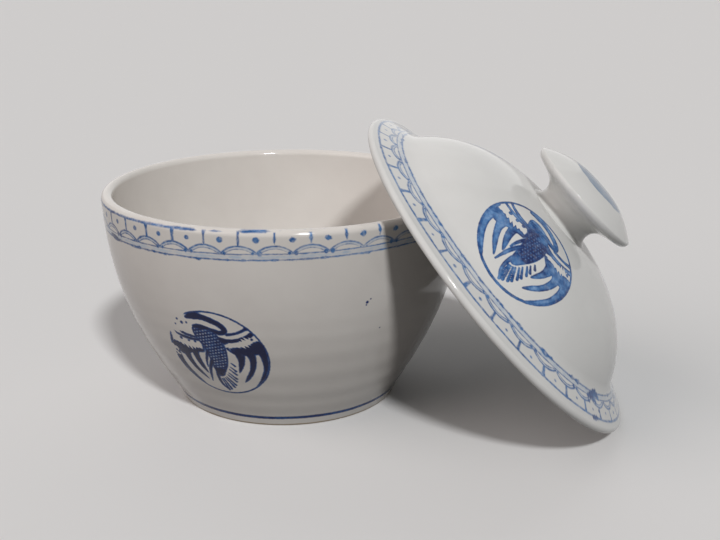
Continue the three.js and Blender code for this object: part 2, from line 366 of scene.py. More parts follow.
# Solid forms, as outlines that are rounded between their points
CRANE_FORMS = (
    # body
    ((-7.0, 14.0), (-3.8, 14.6), (0.3, 13.5), (2.2, 11.3), (3.8, 7.8), (4.9, 4.2), (4.7, -0.4), (3.7, -4.6),
     (2.2, -8.0), (0.8, -10.6), (-0.9, -11.2), (-2.2, -9.4), (-2.8, -6.2), (-3.3, -2.6), (-3.8, 1.0),
     (-5.0, 4.4), (-6.8, 7.2), (-7.8, 10.2), (-7.9, 12.6)),
    # right wing: the arm, then the band that the long feathers hang from
    ((2.6, 9.8), (6.2, 9.1), (10.0, 9.5), (13.6, 11.0), (17.0, 13.2), (17.6, 12.0), (15.4, 9.7),
     (12.6, 8.5), (9.2, 7.7), (6.4, 7.0), (4.4, 6.4)),
    ((5.0, 4.6), (8.2, 5.2), (11.4, 5.6), (14.8, 6.8), (18.6, 8.9), (20.1, 5.0), (20.3, 1.2), (17.6, 1.6),
     (15.0, 1.4), (12.2, 1.2), (9.6, 0.8), (7.0, 2.4)),
    # right wing: three long feathers
    ((7.2, 3.2), (11.6, 2.0), (11.2, -2.0), (9.9, -5.2), (7.7, -8.3), (8.1, -5.2), (8.6, -2.0), (8.2, 1.0)),
    ((12.2, 2.4), (15.8, 2.2), (15.6, -2.8), (13.8, -7.6), (11.4, -11.2), (8.6, -13.8), (10.0, -10.6),
     (12.0, -7.0), (13.0, -3.4), (13.1, -0.2)),
    ((17.4, 2.4), (20.3, 2.4), (20.2, -3.0), (18.9, -8.0), (16.6, -12.0), (12.6, -16.4), (14.7, -12.9),
     (16.3, -9.8), (17.6, -6.6), (18.0, -3.0), (17.8, 0.0)),
    # left wing: the band and three long feathers
    ((-20.2, 5.2), (-17.2, 3.6), (-13.6, 3.4), (-10.2, 3.6), (-7.0, 4.2), (-4.6, 4.0), (-4.8, 1.2),
     (-7.0, 0.4), (-9.4, -0.4), (-12.6, -1.8), (-15.4, -3.2), (-18.0, -2.4), (-20.3, 0.6)),
    ((-10.9, 0.6), (-10.0, -4.4), (-8.4, -7.8), (-6.1, -10.6), (-6.6, -7.4), (-7.4, -4.4),
     (-7.8, -1.4), (-7.9, 1.0)),
    ((-15.8, -1.2), (-14.0, -6.2), (-11.2, -10.6), (-7.0, -14.6), (-8.6, -11.4), (-10.6, -8.0),
     (-12.0, -4.4), (-12.4, -0.6)),
    ((-20.3, 2.2), (-20.3, -3.0), (-18.6, -8.6), (-15.0, -13.8), (-9.4, -18.2), (-12.6, -14.4),
     (-15.4, -10.2), (-17.0, -6.2), (-17.8, -1.6)),
)

# Brush strokes: half widths at the start, middle and end, then the points they run through
CRANE_STROKES = (
    # neck, from the breast round to the head and its bill
    ((1.0, 1.2, 1.3), ((0.6, 12.6), (4.2, 11.8), (6.0, 13.0), (4.6, 15.2), (1.2, 17.0), (-3.0, 18.2))),
    ((1.3, 1.8, 0.8), ((-2.4, 18.0), (-5.2, 18.3), (-7.4, 17.9), (-9.8, 16.8))),
    # right wing's front edge
    ((0.6, 0.5, 0.7), ((6.6, 11.2), (9.6, 11.8), (12.4, 12.9), (15.2, 14.6))),
    # left wing's two front lines
    ((0.4, 0.7, 0.5), ((-17.2, 11.0), (-14.8, 9.4), (-11.6, 8.3), (-7.6, 8.0))),
    ((0.4, 0.7, 0.6), ((-18.6, 8.2), (-14.6, 7.0), (-10.8, 6.6), (-6.4, 6.8))),
    # legs
    ((0.7, 0.5, 0.2), ((-3.4, 1.8), (-4.5, -1.4), (-5.2, -4.4), (-5.4, -6.8))),
    ((0.8, 0.6, 0.2), ((-2.8, -3.4), (-4.3, -7.2), (-5.1, -11.4), (-5.6, -15.0))),
    # the tail's near side
    ((0.7, 0.55, 0.4), ((-1.9, -9.6), (-2.0, -13.1), (-1.2, -16.3), (0.8, -18.8))),
)

# Spots on the wings: place and radius
WING_SPOTS = (
    (14.6, 14.2, 0.85), (-14.6, 5.5, 0.65), (-11.0, 5.2, 0.5), (-8.0, 5.6, 0.55), (16.0, 9.2, 0.5),
)

# Jagged bare bands across the wings: start, end, half width, reach and number of their teeth
BARE_BANDS = (
    ((-19.4, 3.9), (-5.2, 3.5), 0.8, 2.3, 8),
    ((6.0, 5.2), (18.6, 9.4), 0.6, 2.5, 9),
)
TOOTH_LEAN = 0.55
TOOTH_MEAN = 0.55
TOOTH_VARIES = 0.45
TOOTH_CHANGE = 7.3
TOOTH_SIDES = 2.0

# The net of small scales on the body, and the tail's barbs
SCALE_PITCH = 1.36
SCALE_SIZE = 0.42
SCALE_FLATTEN = 1.25
SCALE_TURN = 0.32
SCALE_MARGIN = 0.75
SCALE_THINNEST = -0.1
SCALE_LOWEST = -6.4
SCALE_HIGHEST = 12.4
TAIL_BARBS = 9
BARB_WIDTHS = (0.2, 0.3, 0.44)
TAIL_INNER = ((-0.8, -12.6), (0.9, -11.9), (2.5, -9.9), (4.0, -6.7), (5.4, -3.2))
TAIL_OUTER = ((0.7, -19.0), (3.4, -17.0), (5.2, -13.6), (6.2, -9.4), (6.6, -4.6))


def rounded(points, closed):
    """A smooth line through points."""
    p = np.asarray(points, float)
    if closed:
        p = np.concatenate([p[-1:], p, p[:2]])
    else:
        p = np.concatenate([2 * p[:1] - p[1:2], p, 2 * p[-1:] - p[-2:-1]])
    t = np.linspace(0.0, 1.0, CURVE_STEPS, endpoint=False)[:, None]
    parts = []
    for a, b, c, d in zip(p, p[1:], p[2:], p[3:]):
        bend = 2 * b + (c - a) * t + (2 * a - 5 * b + 4 * c - d) * t**2 + (3 * b - a - 3 * c + d) * t**3
        parts.append(bend / 2)
    return np.concatenate(parts + ([] if closed else [p[-2:-1]]))


def to_segment(x, y, a, b):
    """Distance from points to a straight stretch, and how far along it they are nearest."""
    side = b - a
    share = ((x - a[0]) * side[0] + (y - a[1]) * side[1]) / max(side @ side, SAME_POINT**2)
    share = np.clip(share, 0.0, 1.0)
    return np.hypot(x - a[0] - share * side[0], y - a[1] - share * side[1]), share


def form_depth(x, y, outline):
    """How deep points lie inside a rounded outline, below zero outside it."""
    line = rounded(outline, True)
    nearest = np.full(x.shape, FAR)
    inside = np.zeros(x.shape, bool)
    for a, b in zip(line, np.roll(line, -1, axis=0)):
        nearest = np.minimum(nearest, to_segment(x, y, a, b)[0])
        if a[1] != b[1]:
            spans = (a[1] > y) != (b[1] > y)
            inside ^= spans & (x < a[0] + (b[0] - a[0]) * (y - a[1]) / (b[1] - a[1]))
    return np.where(inside, nearest, -nearest)


def stroke_depth(x, y, widths, points):
    """How deep points lie inside a brush stroke of changing width."""
    line = rounded(points, False)
    width = np.interp(np.linspace(0, 1, len(line)), (0, 0.5, 1), widths)
    depth = np.full(x.shape, -FAR)
    for a, b, wide, next_wide in zip(line, line[1:], width, width[1:]):
        distance, share = to_segment(x, y, a, b)
        depth = np.maximum(depth, wide + (next_wide - wide) * share - distance)
    return depth


def bare_band_depth(x, y, start, end, half, tooth, count):
    """Depth inside a bare band whose two sides are cut into leaning teeth of uneven reach."""
    start, end = np.asarray(start), np.asarray(end)
    length = np.hypot(*(end - start))
    along = (end - start) / length
    u = (x - start[0]) * along[0] + (y - start[1]) * along[1]
    v = (y - start[1]) * along[0] - (x - start[0]) * along[1]
    step = (u + TOOTH_LEAN * v) * count / length
    number = np.floor(step)
    uneven = TOOTH_MEAN + TOOTH_VARIES * np.sin(TOOTH_CHANGE * number + TOOTH_SIDES * np.sign(v))
    reach = half + tooth * uneven * (1 - np.abs(2 * (step - number) - 1))
    return np.minimum(reach - np.abs(v), np.minimum(u, length - u))


def scale_depth(x, y, body):
    """Depth inside the small bare scales that net the crane's body."""
    u = (x * np.cos(SCALE_TURN) + y * np.sin(SCALE_TURN)) / SCALE_PITCH
    v = (y * np.cos(SCALE_TURN) - x * np.sin(SCALE_TURN)) / SCALE_PITCH
    row = np.round(v)
    column = u - 0.5 * (row % 2)
    distance = np.hypot(column - np.round(column), (v - row) * SCALE_FLATTEN) * SCALE_PITCH
    bounds = np.minimum(SCALE_HIGHEST - y, y - SCALE_LOWEST)
    return np.minimum(np.minimum(SCALE_SIZE - distance, body - SCALE_MARGIN), bounds)


def crane_depth(x, y):
    """How deep points lie inside the roundel's ink, in millimetres, below zero on bare ground."""
    distance = np.hypot(x, y)
    forms = [form_depth(x, y, outline) for outline in CRANE_FORMS]
    ink = np.max(forms, axis=0)
    for band in BARE_BANDS:
        ink = np.minimum(ink, -bare_band_depth(x, y, *band))
    ink = np.minimum(ink, np.maximum(-scale_depth(x, y, forms[0]), SCALE_THINNEST))
    for widths, points in CRANE_STROKES:
        ink = np.maximum(ink, stroke_depth(x, y, widths, points))
    for spot_x, spot_y, size in WING_SPOTS:
        ink = np.maximum(ink, size - np.hypot(x - spot_x, y - spot_y))
    inner, outer = rounded(TAIL_INNER, False), rounded(TAIL_OUTER, False)
    for share in np.linspace(0, 1, TAIL_BARBS):
        pick = [line[int(share * (len(line) - 1))] for line in (inner, outer)]
        ink = np.maximum(ink, stroke_depth(x, y, BARB_WIDTHS, pick))
    ink = np.minimum(ink, ROUNDEL_RADIUS - distance)
    return np.maximum(ink, RING_LINE - np.abs(distance - ROUNDEL_RADIUS))


# Turned meshes


def turned(name, section, columns, patches=()):
    """A closed solid turned about Z, with finer columns in patches of (first row, last row,
    first column, last column). Returns the object, and each vertex's row."""
    fine = columns * SUBCOLUMNS
    present = np.zeros((len(section), fine), bool)
    present[:, ::SUBCOLUMNS] = True
    for first_row, last_row, first, last in patches:
        inside = np.arange(first * SUBCOLUMNS, last * SUBCOLUMNS + 1) % fine
        present[first_row:last_row + 1, inside] = True
    pole = section[:, 0] < ON_AXIS
    present[pole] = False
    present[pole, 0] = True
    index = np.cumsum(present.ravel()).reshape(present.shape) - 1
    row, column = np.nonzero(present)
    angle = 2 * pi * column / fine
    radius = section[row, 0]
    verts = np.stack([radius * np.cos(angle), radius * np.sin(angle), section[row, 1]], 1) * MM
    along = lengths(section) / lengths(section)[-1]
    faces, maps = [], []
    for i in range(len(section) - 1):
        for j in range(columns):
            start, end = j * SUBCOLUMNS, (j + 1) * SUBCOLUMNS
            low, high = [
                [(int(index[k, 0]), (start + end) / 2 / fine)] if pole[k] else
                [(int(index[k, c % fine]), c / fine) for c in range(start, end + 1) if present[k, c % fine]]
                for k in (i, i + 1)
            ]
            pairs = [(low, high)]
            if len(low) == len(high) == SUBCOLUMNS + 1:
                pairs = [(low[c:c + 2], high[c:c + 2]) for c in range(SUBCOLUMNS)]
            for a, b in pairs:
                faces.append([v for v, _ in a] + [v for v, _ in b[::-1]])
                maps.extend([(u, along[i]) for _, u in a] + [(u, along[i + 1]) for _, u in b[::-1]])
    mesh = bpy.data.meshes.new(name)
    mesh.from_pydata(verts.tolist(), [], faces)
    mesh.polygons.foreach_set("use_smooth", [True] * len(faces))
    layer = mesh.uv_layers.new(name="OFBake")
    layer.uv.foreach_set("vector", np.asarray(maps, np.float32).ravel())
    mesh.validate()
    mesh.update()
    piece = bpy.data.objects.new(name, mesh)
    bpy.context.scene.collection.objects.link(piece)
    return piece, row


def point_values(piece, name, values):
    """Keeps one number per vertex on the mesh, for its material."""
    layer = piece.data.attributes.new(name, "FLOAT", "POINT")
    layer.data.foreach_set("value", np.asarray(values, np.float32))


def keep_place(piece):
    """Moves a piece's placement into its mesh. Each vertex keeps its place about the piece's own
    axis, in millimetres."""
    place = np.array([v.co for v in piece.data.vertices]) / MM
    layer = piece.data.attributes.new("place", "FLOAT_VECTOR", "POINT")
    layer.data.foreach_set("vector", place.astype(np.float32).ravel())
    piece.data.transform(piece.matrix_basis)
    piece.matrix_basis = Matrix.Identity(4)


# Piece placement


def roundel_patches(section, start_row, band, slant, angles, columns):
    """The finer patch of rows and columns under each roundel."""
    along = lengths(section) - lengths(section)[start_row]
    rows = np.nonzero((along >= band[0] - ROW_SLACK) & (along <= band[1] + ROW_SLACK))[0]
    rows = rows[rows >= start_row]
    reach = ROUNDEL_RADIUS + PATCH_MARGIN
    radii = section[rows, 0]
    up = np.clip(1 - ((along[rows] - slant) / reach) ** 2, 0, None)
    half = np.degrees(np.max(reach * np.sqrt(up) / radii))
    step = 360 / columns
    return [
        (rows[0], rows[-1], int(np.floor((a - half) / step)), int(np.ceil((a + half) / step)))
        for a in angles
    ]


def print_roundels(piece, section, rows, start_row, slant, angles, misses):
    """Gives each vertex of the outside its depth in the nearest roundel's ink, and its depth in
    the spots of (x, y, radius) where that roundel's print missed."""
    place = np.array([v.co for v in piece.data.vertices]) / MM
    along = lengths(section) - lengths(section)[start_row]
    centre = np.array([np.interp(slant, along, section[:, k]) for k in (0, 1)])
    slope = np.array([np.interp(slant, along, np.gradient(section[:, k], along)) for k in (0, 1)])
    slope /= np.hypot(*slope)
    ink = np.full(len(place), -FAR)
    missed = np.full(len(place), -FAR)
    from_middle = np.full(len(place), ROUNDEL_RADIUS)
    upright = np.array((0.0, 0.0, 1.0))
    limit = ROUNDEL_RADIUS + PATCH_MARGIN
    outside = (rows >= start_row) & (np.abs(along[rows] - slant) < limit)
    for angle, spots in zip(np.radians(angles), misses):
        out = np.array((np.cos(angle), np.sin(angle), 0.0))
        right = np.array((-np.sin(angle), np.cos(angle), 0.0))
        up = slope[0] * out + slope[1] * upright
        gap = place - (centre[0] * out + centre[1] * upright)
        reach = np.hypot(np.hypot(gap[:, 0], gap[:, 1]), gap[:, 2])
        near = outside & (reach < limit)
        x, y = gap[near] @ right, gap[near] @ up
        stretch = reach[near] / np.maximum(np.hypot(x, y), SAME_POINT)
        x, y = x * stretch, y * stretch
        ink[near] = crane_depth(x, y)
        from_middle[near] = reach[near]
        missed[near] = np.max([radius - np.hypot(x - a, y - b) for a, b, radius in spots], axis=0)
    point_values(piece, "ink", ink)
    point_values(piece, "from_middle", from_middle)
    point_values(piece, "missed", missed)


def printed(name, section_of, slant, angle, columns, misses):
    """A turned piece with roundels printed round its outside. Returns it, its section and each
    vertex's row."""
    band = (slant - ROUNDEL_RADIUS - PATCH_MARGIN, slant + ROUNDEL_RADIUS + PATCH_MARGIN)
    angles = [angle + 360 * k / ROUNDELS for k in range(ROUNDELS)]
    section, start_row = section_of(band)
    patches = roundel_patches(section, start_row, band, slant, angles, columns)
    piece, rows = turned(name, section, columns, patches)
    print_roundels(piece, section, rows, start_row, slant, angles, misses)
    return piece, section, rows


bowl, bowl_line, bowl_rows = printed(
    "bowl_ware", bowl_section, BOWL_ROUNDEL_SLANT - FOOT_HEIGHT, BOWL_ROUNDEL_ANGLE,
    BOWL_COLUMNS, BOWL_MISSES,
)
cover, cover_line, cover_rows = printed(
    "cover_ware", cover_section, COVER_ROUNDEL_SLANT - COVER_EDGE, COVER_ROUNDEL_ANGLE,
    COVER_COLUMNS, COVER_MISSES,
)
lip_row = int(np.argmax(bowl_line[:, 1]))
edge_row = int(np.argmax(cover_line[:, 0]))
point_values(bowl, "from_rim", (lengths(bowl_line)[lip_row] - lengths(bowl_line))[bowl_rows])
point_values(cover, "from_rim", (lengths(cover_line) - lengths(cover_line)[edge_row])[cover_rows])

# The knob was set by hand: it leans, from nothing at its foot to the whole lean at its waist
knob = turned("knob_ware", knob_section(), KNOB_COLUMNS)[0]
lean_axis = Vector((-sin(radians(KNOB_LEAN_TOWARDS)), cos(radians(KNOB_LEAN_TOWARDS)), 0.0))
for vertex in knob.data.vertices:
    share = min(max(vertex.co.z / (NECK_WAIST_HEIGHT * MM), 0.0), 1.0)
    share = share * share * (3 - 2 * share)
    vertex.co = Matrix.Rotation(radians(KNOB_LEAN) * share, 3, lean_axis) @ vertex.co

bowl_low, bowl_high = (Vector(c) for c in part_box("bowl"))
bowl_middle = (bowl_low + bowl_high) / 2
bowl.matrix_basis = Matrix.Translation((bowl_middle.x, bowl_middle.y, bowl_low.z))

tilt = Matrix.Rotation(radians(LEAN), 4, "Y")
cover_low, cover_high = (Vector(c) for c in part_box("cover"))
reach = [tilt @ v.co for v in cover.data.vertices]
shift = Vector((
    cover_low.x - min(v.x for v in reach),
    (cover_low.y + cover_high.y) / 2,
    cover_low.z - min(v.z for v in reach),
))
cover.matrix_basis = Matrix.Translation(shift) @ tilt
knob.matrix_basis = cover.matrix_basis @ Matrix.Translation(
    (-KNOB_OFF_CENTRE * MM, 0, (CROWN_HEIGHT + KNOB_GAP) * MM)
)
for piece in (bowl, cover, knob):
    keep_place(piece)

# Glaze and underglaze blue

MIX_INPUTS = (0, 6, 7)
MIX_RESULT = 2
SPECK_SLACK = 0.01
SPECK_CORE = 0.4


class Field:
    """A number that varies over a surface, carried by a shader node's output."""

    def __init__(self, tree, socket):
        self.tree = tree
        self.socket = socket

    def math(self, operation, *others):
        node = self.tree.nodes.new("ShaderNodeMath")
        node.operation = operation
        for socket, value in zip(node.inputs, (self, *others)):
            put(socket, value)
        return Field(self.tree, node.outputs[0])

    def __add__(self, other):
        return self.math("ADD", other)

    def __sub__(self, other):
        return self.math("SUBTRACT", other)

    def __rsub__(self, other):
        return self.math("MULTIPLY", -1.0).math("ADD", other)

    def __mul__(self, other):
        return self.math("MULTIPLY", other)

    def __abs__(self):
        return self.math("ABSOLUTE")

    def least(self, *others):
        return self._fold("MINIMUM", others)

    def most(self, *others):
        return self._fold("MAXIMUM", others)

    def _fold(self, operation, others):
        result = self
        for other in others:
            result = result.math(operation, other)
        return result

    def distance(self, other):
        return ((self * self) + (other * other)).math("SQRT")

    def rise(self, low, high):
        """0 below low, 1 above high and smooth between them. Falls where high is the lower one."""
        node = self.tree.nodes.new("ShaderNodeMapRange")
        node.interpolation_type = "SMOOTHSTEP"
        falls = high < low
        for name, value in (("Value", self), ("From Min", min(low, high)), ("From Max", max(low, high)),
                            ("To Min", float(falls)), ("To Max", float(not falls))):
            put(node.inputs[name], value)
        return Field(self.tree, node.outputs["Result"])


def put(socket, value):
    """Links a field or an output to a socket, or sets the socket's own value."""
    if isinstance(value, Field):
        value.tree.links.new(value.socket, socket)
    elif isinstance(value, bpy.types.NodeSocket):
        socket.id_data.links.new(value, socket)
    else:
        socket.default_value = value


def mixed(tree, share, low, high):
    """The output of a node that goes from one colour to another by share."""
    node = tree.nodes.new("ShaderNodeMix")
    node.data_type = "RGBA"
    for socket, value in zip(MIX_INPUTS, (share, low, high)):
        put(node.inputs[socket], value)
    return node.outputs[MIX_RESULT]


class Surface:
    """A material under construction, with the places that its patterns are laid out on."""

    def __init__(self, name):
        self.material = bpy.data.materials.new(name)
        self.material.use_nodes = True
        self.tree = self.material.node_tree
        self.shader = self.tree.nodes["Principled BSDF"]
        self.place = self.kept("place").outputs["Vector"]
        parts = self.tree.nodes.new("ShaderNodeSeparateXYZ")
        put(parts.inputs[0], self.place)
        self.x, self.y, self.z = (Field(self.tree, out) for out in parts.outputs)

    def kept(self, name):
        """The node that reads a value kept on the mesh."""
        node = self.tree.nodes.new("ShaderNodeAttribute")
        node.attribute_name = name
        return node

    def value(self, name):
        return Field(self.tree, self.kept(name).outputs["Fac"])

    def noise(self, size, detail=2.0, seed=0.0):
        """Soft random variation from about -0.5 to 0.5, with features of a size in millimetres."""
        node = self.tree.nodes.new("ShaderNodeTexNoise")
        node.noise_dimensions = "4D"
        put(node.inputs["Vector"], self.place)
        put(node.inputs["W"], seed)
        put(node.inputs["Scale"], 1.0 / size)
        put(node.inputs["Detail"], detail)
        return Field(self.tree, node.outputs["Fac"]) - 0.5

    def chance(self, number, seed):
        """One random number from 0 to 1 for each whole number."""
        node = self.tree.nodes.new("ShaderNodeTexWhiteNoise")
        node.noise_dimensions = "1D"
        put(node.inputs["W"], number + seed)
        return Field(self.tree, node.outputs["Value"])

    def away(self, point):
        """Distance from a point, in millimetres."""
        node = self.tree.nodes.new("ShaderNodeVectorMath")
        node.operation = "DISTANCE"
        put(node.inputs[0], self.place)
        put(node.inputs[1], point)
        return Field(self.tree, node.outputs["Value"])

    def specks(self, spacing, size, share, seed):
        """Small round specks: 1 in the middle of those that are there, 0 elsewhere."""
        node = self.tree.nodes.new("ShaderNodeTexVoronoi")
        node.voronoi_dimensions = "4D"
        put(node.inputs["Vector"], self.place)
        put(node.inputs["W"], seed)
        put(node.inputs["Scale"], 1.0 / spacing)
        split = self.tree.nodes.new("ShaderNodeSeparateColor")
        put(split.inputs[0], node.outputs["Color"])
        there = Field(self.tree, split.outputs[0]).rise(1 - share - SPECK_SLACK, 1 - share + SPECK_SLACK)
        near = (Field(self.tree, node.outputs["Distance"]) * spacing).rise(size, size * SPECK_CORE)
        return there * near

    def blend(self, share, low, high):
        """A colour that goes from low to high by share."""
        return mixed(self.tree, share, low, high)

    def ramp(self, share, *stops):
        """A colour picked from stops of (place, colour) by share."""
        node = self.tree.nodes.new("ShaderNodeValToRGB")
        put(node.inputs[0], share)
        marks = node.color_ramp.elements
        while len(marks) < len(stops):
            marks.new(1.0)
        for mark, (place, colour) in zip(marks, stops):
            mark.position = place
            mark.color = colour
        return node.outputs[0]


def colour(red, green, blue):
    """A linear colour from display values of 0 to 255."""
    display = [c / 255 for c in (red, green, blue)]
    return tuple(c / 12.92 if c < 0.04045 else ((c + 0.055) / 1.055) ** 2.4 for c in display) + (1.0,)


def printed_border(cells, radius, arch_half, arch_rise, **measures):
    """A printed border of cells. Lengths are in millimetres, down from the tops of its arches."""
    return SimpleNamespace(
        cells=cells,
        pitch=2 * pi * radius / cells,
        arch_rise=arch_rise,
        arch_radius=(arch_half * arch_half + arch_rise * arch_rise) / (2 * arch_rise),
        **measures,
    )


# How a border's print strays, and how uneven its lines are
CELL_STRAY = 0.1
DROP_STRAY = 0.6
DROP_SHAKE = 0.4
LINE_UNEVEN = 0.55

# Bars, with their flare at the top, their breaks and the drops that they shrink to
FLARE_REACH = 2.2
FLARE_WIDTH = 0.3
BAR_UNEVEN = 0.35
BAR_TRIM = 0.05
BAR_FADE = 0.15
BAR_LAP = 0.3
BREAK_DEPTH = 3.0
BREAK_FADE = 0.4
BREAK_START = 0.6
DROP_TAPER = 0.3
DROP_SWELL = 0.36
DROP_LIFT = 0.8

# Dots
DOT_UNEVEN = 0.35
DOT_FADE = 0.15
DOT_STRAY = 0.8
DOT_SINK = 0.4
DOT_FLATTEN = 1.1
DOT_CRUMBLE = 1.7

# Arches with the blots at their feet, and the lines above and below them
ARCH_BAND = 1.05
ARCH_FOOT = 0.5
ARCH_THINNING = 0.1
INNER_TRIM = 0.18
INNER_THINNING = 0.12
FOOT_SPREAD = 1.2
BLOT_UNEVEN = 0.8
BLOT_LEAST = 0.25
BLOT_SINK = 0.2
TOP_GAIN = 0.08
GAP_DEPTH = 5.0
GAP_START = 0.3
FIRST_TRIM = 0.12
SECOND_TRIM = 0.06
SMEAR_DEPTH = 4.0
SMEAR_START = 0.04
WASH_INSET = 0.35


def border_ink(surface, border, drop, fade, drops):
    """Depths in a border's dark lines and in its pale wash: a top line that fades away, bars that
    shrink to drops, dots, double arches with blots at their feet, and two lower lines."""
    turns = surface.y.math("ARCTAN2", surface.x) * (0.5 / pi)
    cell = turns * border.cells + border.phase + surface.noise(30.0, seed=1.0) * CELL_STRAY
    drop = drop + surface.noise(24.0, seed=2.0) * DROP_STRAY + surface.noise(5.0, seed=3.0) * DROP_SHAKE
    thick = surface.noise(3.0, detail=3.0, seed=4.0) * LINE_UNEVEN + border.line
    bar_cell = (cell + 0.5).math("FLOOR")
    to_bar = (cell - bar_cell) * border.pitch
    dot_cell = cell.math("FLOOR")
    to_dot = (cell - dot_cell - 0.5) * border.pitch
    flare = (drop - border.top).rise(FLARE_REACH, 0.0) * FLARE_WIDTH
    bar = thick + flare + surface.chance(bar_cell, 3.1) * BAR_UNEVEN - BAR_TRIM - fade * BAR_FADE
    broken = (surface.noise(2.6, seed=7.0) * BREAK_DEPTH + fade * BREAK_FADE - BREAK_START).most(0.0)
    narrowed = (abs(drop - border.top / 2) * DROP_TAPER - DROP_SWELL) * drops
    upper_end = drop - border.top + BAR_LAP - drops
    lower_end = BAR_LAP - drop - drops * DROP_LIFT
    bars = (bar - abs(to_bar) - broken - narrowed).least(upper_end, lower_end)
    sideways = surface.chance(dot_cell, 0.3) - 0.5
    size = surface.chance(dot_cell, 7.7) * DOT_UNEVEN + border.dot_size + fade * DOT_FADE
    down = (drop - border.dots + sideways * DOT_SINK) * DOT_FLATTEN
    dots = size - (to_dot + sideways * DOT_STRAY).distance(down)
    dots = dots + surface.noise(1.3, seed=8.0) * drops * DOT_CRUMBLE
    from_middle = to_bar.distance(border.arch_radius - drop)
    above_foot = border.arch_rise + ARCH_FOOT - drop
    inside = border.arch_radius - from_middle
    arches = (thick - drops * ARCH_THINNING - abs(inside)).least(above_foot)
    inner = thick - INNER_TRIM - drops * INNER_THINNING - abs(inside - ARCH_BAND)
    gaps = (surface.noise(9.0, detail=3.0, seed=5.0) * GAP_DEPTH + fade - GAP_START).most(0.0)
    top = thick + TOP_GAIN - abs(drop - border.top) - gaps
    depth = bars.most(dots, arches, inner.least(above_foot), top)
    below_foot = drop - border.arch_rise - BLOT_SINK
    for side, seed in ((-1, 11.3), (1, 23.9)):
        blot = surface.chance(dot_cell, seed) * BLOT_UNEVEN + BLOT_LEAST
        depth = depth.most(blot - (to_dot + side * FOOT_SPREAD).distance(below_foot))
    first, second = border.lines
    smear = (surface.noise(4.5, detail=3.0, seed=6.0) - SMEAR_START).most(0.0) * SMEAR_DEPTH
    first_line = thick - FIRST_TRIM - abs(drop - first)
    second_line = thick + smear - SECOND_TRIM - abs(drop - second)
    band = ARCH_BAND / 2 - abs(inside - ARCH_BAND / 2)
    between = (second - first) / 2 - abs(drop - (first + second) / 2)
    return depth.most(first_line, second_line), band.least(above_foot).most(between - WASH_INSET)


def blots_depth(surface, blots):
    """Depth in blots of ink, each given by its place and its radius."""
    depths = [radius - surface.away(place) for place, radius in blots]
    return depths[0].most(*depths[1:])


BOWL_WARE = (colour(214, 209, 204), colour(223, 219, 214))
COVER_WARE = (colour(211, 211, 209), colour(220, 220, 218))
BISCUIT = colour(192, 174, 150)
WASH = colour(160, 182, 206)
KNOB_WASH = colour(92, 124, 158)
DUST = colour(128, 112, 100)
COBALT = (
    (0.0, colour(140, 172, 210)),
    (0.3, colour(92, 136, 188)),
    (0.55, colour(44, 94, 152)),
    (0.8, colour(10, 44, 106)),
    (1.0, colour(0, 16, 66)),
)

# Glaze: its clouds, its dust and its skin
SPECULAR = 0.32
CLOUD_FINE = 0.35
CLOUD_ENDS = (0.2, 0.8)
DUST_SPACING = 7.5
DUST_SIZE = 0.24
DUST_SHARE = 0.12
DUST_STRENGTH = 0.35
WAVE_HEIGHT = 0.05
PEEL_HEIGHT = 0.006

# Ink: its edges, its thin patches, its wash and the spots where the print missed
RAGGED = 0.35
MOTTLE = 0.5
PATCH_GAIN = 0.05
WASH_CLOUD = 1.6
WASH_MEAN = 0.42
WASH_LIMITS = (0.08, 0.8)
WASH_RAGGED = 0.5
WASH_EDGE = (-0.1, 0.5)
MISS_RAGGED = 8.0
MISS_EDGE = (-0.6, 1.2)
MISS_DEPTH = 2.2


def glazed(name, base):
    """A clear gloss glaze over a white body. Returns the surface and its ground colour."""
    surface = Surface(name)
    fine = surface.noise(8.0, detail=3.0, seed=12.0) * CLOUD_FINE
    cloud = surface.noise(30.0, detail=3.0, seed=11.0) + fine
    ground = surface.ramp(cloud + 0.5, *zip(CLOUD_ENDS, base))
    dust = surface.specks(DUST_SPACING, DUST_SIZE, DUST_SHARE, 13.0)
    return surface, surface.blend(dust * DUST_STRENGTH, ground, DUST)


def finish_glaze(surface, base, height, roughness):
    """Joins colour, gloss and the glaze's slightly uneven skin to the shader."""
    for name, value in (("Base Color", base), ("Roughness", roughness), ("Specular IOR Level", SPECULAR)):
        put(surface.shader.inputs[name], value)
    bump = surface.tree.nodes.new("ShaderNodeBump")
    for name, value in (("Strength", 1.0), ("Distance", MM), ("Height", height)):
        put(bump.inputs[name], value)
    put(surface.shader.inputs["Normal"], bump.outputs[0])


def skin(surface):
    """Height of the glaze's skin in millimetres: soft waves and fine orange peel."""
    waves = surface.noise(9.0, seed=21.0) * WAVE_HEIGHT
    return waves + surface.noise(1.6, detail=1.0, seed=22.0) * PEEL_HEIGHT


def mottled(surface, seed):
    """The ink's uneven tone, about 0."""
    return surface.noise(1.8, detail=3.0, seed=seed) * MOTTLE + surface.noise(9.0, seed=seed + 1) * MOTTLE


def inked(surface, ground, depth, tone, soft, ragged=RAGGED, patchy=0.0):
    """The ground with underglaze blue laid over it, with soft and ragged edges and thin patches."""
    edge = depth + surface.noise(1.1, detail=4.0, seed=31.0) * ragged
    thin = (surface.noise(1.6, detail=3.0, seed=35.0) + PATCH_GAIN).most(0.0) * patchy
    take = (1.0 - thin).most(0.0)
    return surface.blend(edge.rise(-soft, soft) * take, ground, surface.ramp(tone, *COBALT))


def washed(surface, ground, depth):
    """The ground under a thin, cloudy wash of blue."""
    least, most = WASH_LIMITS
    cloud = surface.noise(3.5, detail=3.0, seed=32.0) * WASH_CLOUD + WASH_MEAN
    share = (depth + surface.noise(1.5, seed=33.0) * WASH_RAGGED).rise(*WASH_EDGE)
    return surface.blend(share * cloud.least(most).most(least), ground, WASH)


